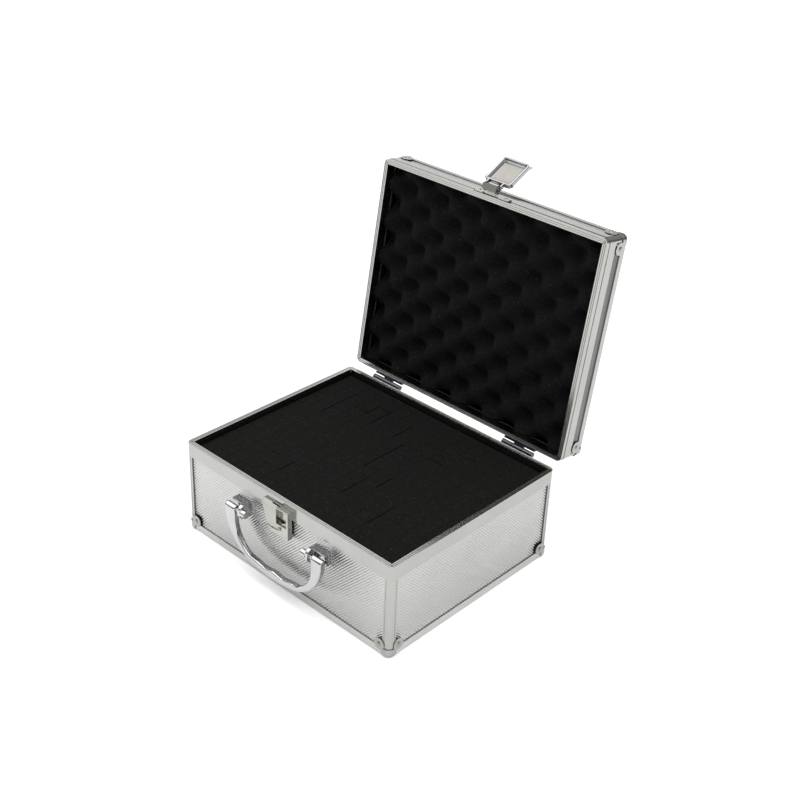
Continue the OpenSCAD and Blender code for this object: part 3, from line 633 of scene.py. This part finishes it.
def inner_point(origin, direction, half_w, bottom):
    """Point on the handle's inner outline, with a hump under each gap between fingers."""
    side = 1 if direction.x >= 0 else -1
    arc_x = half_w - INNER_R
    arc_z = bottom + INNER_R
    on_side = origin + direction * (half_w / max(abs(direction.x), 1e-6))
    if on_side.y >= arc_z:
        return on_side
    on_floor = origin + direction * ((bottom - origin.y) / direction.y)
    if abs(on_floor.x) > arc_x:
        return circle_exit(origin, direction, Vector((side * arc_x, arc_z)), INNER_R)
    return on_floor


def grip_hump(x):
    """Height of the finger humps on the upper side of the grip."""
    if abs(x) > 1.5 * HUMP_PITCH:
        return 0.0
    return HUMP_H * (0.5 + 0.5 * math.cos(2 * math.pi * x / HUMP_PITCH))


def handle_section(inner, outer, middle_y, thick):
    """Ring of points round the bar: flat in front, softly rounded behind and inside."""
    across = outer - inner
    width = across.length
    across.normalize()
    points = []
    for n, (far, back, radius) in enumerate(BAR_CORNERS):
        radius = min(radius, thick * 0.48)
        centre_a = width - radius if far else radius
        centre_b = back * (thick / 2 - radius)
        for k in range(6):
            angle = math.radians(180 + 90 * n + 90 * k / 5)
            a = centre_a + radius * math.cos(angle)
            b = centre_b + radius * math.sin(angle)
            at = inner + across * a
            points.append(Vector((at.x, middle_y + b, at.y)))
    return points


def handle_rings():
    """Rings from the top of the right arm, round the grip, to the top of the left arm."""
    low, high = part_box("handle")
    middle_y = (low.y + high.y) / 2
    half_w = high.x
    pivot = Vector((0, JOINTS["handle_swing"]["pos_m"][2]))
    inner_bottom = low.z + GRIP_W
    rings = []
    for k in range(KNUCKLE_RINGS):
        part = (k + KNUCKLE_START) / (KNUCKLE_RINGS - 1 + KNUCKLE_START)
        rise = KNUCKLE_R * math.cos(math.radians(90 * part))
        thick = 2 * math.sqrt(KNUCKLE_R ** 2 - rise ** 2)
        z = pivot.y + rise
        rings.append((Vector((half_w - ARM_W, z)), Vector((half_w, z)), thick))
    for k in range(1, GRIP_STATIONS):
        angle = math.pi * k / GRIP_STATIONS
        direction = Vector((math.cos(angle), -math.sin(angle)))
        outer = outer_point(pivot, direction, half_w, low.z)
        inner = inner_point(pivot, direction, half_w - ARM_W, inner_bottom)
        hump = grip_hump(inner.x) if inner.y < inner_bottom + HUMP_REACH else 0.0
        inner = Vector((inner.x, inner.y + hump))
        drop = pivot.y - outer.y
        knuckle = 2 * math.sqrt(max(0.0, KNUCKLE_R ** 2 - drop ** 2))
        lowness = min(1.0, max(0.0, drop / (pivot.y - low.z)))
        thick = max(knuckle, ARM_THICK + (GRIP_THICK - ARM_THICK) * lowness)
        rings.append((inner, outer, thick))
    for inner, outer, thick in rings[:KNUCKLE_RINGS][::-1]:
        rings.append((Vector((-inner.x, inner.y)), Vector((-outer.x, outer.y)), thick))
    return [handle_section(i, o, middle_y, t) for i, o, t in rings]


def add_handle():
    """Cast handle with a satin front and a polished back and inner side."""
    mesh = ring_mesh("handle_bail", handle_rings())
    add_piece("handle_bail", mesh, BASE, "handle", ["handle"], MATERIALS["handle_chrome"], 50)
    mesh.materials.append(POLISHED)
    for polygon in mesh.polygons:
        polygon.material_index = 0 if polygon.normal.y < -0.9 else 1


# ---- latch lever ----

LEVER_W = 30 * MM
LEVER_LEN = 30 * MM
LEVER_START = 3.4 * MM
LEVER_CORNER = 4 * MM
CORNER_STEPS = 6
DISH_BACK = -3.4 * MM
LIP_R = 20 * MM
LIP_SWEEP = 37
LIP_START = 8.4 * MM
LIP_INSET = 1.4 * MM
LIP_THICK = 1.3 * MM
LIP_ROOT_Y = -2.4 * MM
LIP_TAPER = 4 * MM / 0.35
LIP_STEPS = 14
EAR_R = 1.9 * MM
EAR_FRONT = 1.5 * MM
EAR_DROP = 4.2 * MM
EAR_THICK = 1.0 * MM
EAR_INSET = 2 * MM


def rounded_outline(width, height, radius):
    """Points round a rectangle centred on the origin, with round corners."""
    points = []
    for n, (sx, sy) in enumerate(((1, 1), (-1, 1), (-1, -1), (1, -1))):
        for k in range(CORNER_STEPS + 1):
            angle = math.radians(90 * n + 90 * k / CORNER_STEPS)
            points.append((
                sx * (width / 2 - radius) + radius * math.cos(angle),
                sy * (height / 2 - radius) + radius * math.sin(angle),
            ))
    return points


def dish_rings(profile, width, length):
    """Rings that follow a profile of (inset, y), in mm, round the lever's outline."""
    middle = -LEVER_START - length / 2
    rings = []
    for inset, y in profile:
        radius = max(LEVER_CORNER - inset * MM, 1.0 * MM)
        outline = rounded_outline(width - 2 * inset * MM, length - 2 * inset * MM, radius)
        rings.append([Vector((x, y * MM, middle + z)) for x, z in outline])
    return rings


def add_lever():
    """Pressed dish of the latch lever with a broad rolled edge."""
    profile = [
        (3.0, -3.4), (0.9, -3.4), (0.25, -3.1), (0.0, -2.4), (0.0, 0.4), (0.25, 1.05), (0.8, 1.42),
        (1.4, 1.4), (2.0, 1.1), (2.7, 0.4), (3.6, -0.9), (4.4, -2.1), (4.9, -2.7), (5.6, -2.9),
    ]
    mesh = ring_mesh("lever_dish", dish_rings(profile, LEVER_W, LEVER_LEN))
    add_piece("lever_dish", mesh, LEVER, "latch_lever", ["latch_lever"], MATERIALS["lever_chrome"], 40)


def add_lever_lip():
    """Finger lip that sweeps out from the back of the dish."""
    end_z = -LEVER_START - LEVER_LEN
    rings = []
    for k in range(LIP_STEPS + 1):
        angle = math.radians(LIP_SWEEP * k / LIP_STEPS)
        y = DISH_BACK - LIP_R * (1 - math.cos(angle))
        z = end_z + LIP_START - LIP_R * math.sin(angle)
        beyond = max(0.0, end_z - z)
        half = LEVER_W / 2 - LIP_INSET - beyond ** 2 / LIP_TAPER
        thickness = LIP_THICK if beyond else LIP_ROOT_Y - y
        ring = []
        for side, front in ((-1, 0), (1, 0), (1, 1), (-1, 1)):
            ring.append(Vector((side * half, y + thickness * front, z)))
        rings.append(ring)
    mesh = ring_mesh("lever_lip", rings)
    add_piece("lever_lip", mesh, LEVER, "latch_lever", ["latch_lever"], MATERIALS["lever_chrome"], 40)


def ear_outline():
    """Round at the pin and straight down to the dish, as points (y, z)."""
    outline = []
    for degrees in range(0, 181, 15):
        angle = math.radians(degrees)
        outline.append((EAR_R * math.cos(angle), EAR_R * math.sin(angle)))
    return outline + [(-EAR_R, -EAR_DROP), (EAR_FRONT, -EAR_DROP)]


def add_lever_ears():
    """Two ears that tie the dish to its pin."""
    pin = box_in(LEVER, "latch_lever_pin")
    for side, word in ((-1, "left"), (1, "right")):
        x = side * (pin[1].x - EAR_INSET)
        rings = []
        for offset in (-EAR_THICK / 2, EAR_THICK / 2):
            rings.append([Vector((x + offset, y, z)) for y, z in ear_outline()])
        name = f"lever_ear_{word}"
        mesh = ring_mesh(name, rings)
        add_piece(name, mesh, LEVER, "latch_lever", ["latch_lever"], MATERIALS["lever_chrome"])


def add_lever_inlay():
    """Pale inlay on the dish's floor."""
    profile = [(5.4, -2.9), (5.0, -2.8), (4.9, -2.4), (5.2, -2.2), (7.5, -2.2)]
    mesh = ring_mesh("lever_inlay_pad", dish_rings(profile, LEVER_W, LEVER_LEN))
    add_piece("lever_inlay_pad", mesh, LEVER, "latch_lever", ["latch_lever_pad"], MATERIALS["lever_inlay"])


# ---- camera, light and floor ----

def add_camera():
    """Camera at the photograph's angle: above the front right corner, very slightly tilted."""
    azimuth, elevation, roll = (math.radians(a) for a in (42.382, 30.387, 2.404))
    target = Vector((0.0637, -0.0330, 0.1861))
    distance = 1.0237
    back = Vector((
        math.sin(azimuth) * math.cos(elevation),
        -math.cos(azimuth) * math.cos(elevation),
        math.sin(elevation),
    ))
    right = Vector((math.cos(azimuth), math.sin(azimuth), 0))
    up = back.cross(right)
    tilted_right = right * math.cos(roll) + up * math.sin(roll)
    tilted_up = up * math.cos(roll) - right * math.sin(roll)
    data = bpy.data.cameras.new("camera")
    data.sensor_width = 36
    data.lens = 58.76
    camera = bpy.data.objects.new("camera", data)
    turned = Matrix((tilted_right, tilted_up, back)).transposed().to_4x4()
    camera.matrix_world = Matrix.Translation(target + back * distance) @ turned
    bpy.context.scene.collection.objects.link(camera)
    bpy.context.scene.camera = camera


def add_floor():
    """Wide pale floor, a hair below the case."""
    reach = 60
    corners = [(-reach, -reach, 0), (reach, -reach, 0), (reach, reach, 0), (-reach, reach, 0)]
    mesh = bpy.data.meshes.new("floor")
    mesh.from_pydata(corners, [], [(0, 1, 2, 3)])
    material, _, shader = new_material("floor", (0.92, 0.92, 0.92), 0.0, 0.9)
    shader.inputs["Specular IOR Level"].default_value = 0.0
    mesh.materials.append(material)
    floor = bpy.data.objects.new("floor", mesh)
    floor.location.z = -0.2 * MM
    bpy.context.scene.collection.objects.link(floor)


def add_softbox(name, at, aim, size, power):
    """Square area light that faces a point and is not seen itself."""
    data = bpy.data.lights.new(name, "AREA")
    data.shape = "SQUARE"
    data.size = size
    data.energy = power
    light = bpy.data.objects.new(name, data)
    light.visible_camera = False
    light.location = at
    light.rotation_euler = (Vector(at) - Vector(aim)).to_track_quat("Z", "Y").to_euler()
    bpy.context.scene.collection.objects.link(light)


def add_ceiling():
    """One lamp straight above, as wide as a bright ceiling."""
    data = bpy.data.lights.new("ceiling", "SUN")
    data.energy = 4.0
    data.angle = math.radians(90)
    lamp = bpy.data.objects.new("ceiling", data)
    bpy.context.scene.collection.objects.link(lamp)


def add_room():
    """Grey room round the case, dark at the horizon and lighter from thirty degrees up."""
    world = bpy.data.worlds.new("studio")
    world.use_nodes = True
    tree = world.node_tree
    background = tree.nodes["Background"]
    coordinates = tree.nodes.new("ShaderNodeTexCoord")
    split = tree.nodes.new("ShaderNodeSeparateXYZ")
    tree.links.new(coordinates.outputs["Generated"], split.inputs["Vector"])
    ramp = ramp_node(tree, split.outputs["Z"], [
        (0.0, (0.07, 0.07, 0.07)),
        (0.5, (0.55, 0.55, 0.56)),
    ])
    tree.links.new(ramp.outputs["Color"], background.inputs["Color"])
    background.inputs["Strength"].default_value = 1.0
    bpy.context.scene.world = world


def add_light():
    """Room and ceiling, with two softboxes in front and one low behind."""
    add_room()
    add_ceiling()
    aim = (0, 0, 0.1)
    add_softbox("key", (-1.6, -1.2, 1.3), aim, 1.1, 6)
    add_softbox("fill", (1.7, -1.0, 1.1), aim, 1.0, 5)
    add_softbox("backdrop", (-1.45, 2.0, 0.85), aim, 0.9, 2.6)


dress_cad()
add_all_panels()
add_pick_foam()
add_egg_crate()
add_floor_pad()
add_handle()
add_lever()
add_lever_lip()
add_lever_ears()
add_lever_inlay()
add_camera()
add_floor()
add_light()
bpy.context.scene.view_settings.view_transform = "Standard"
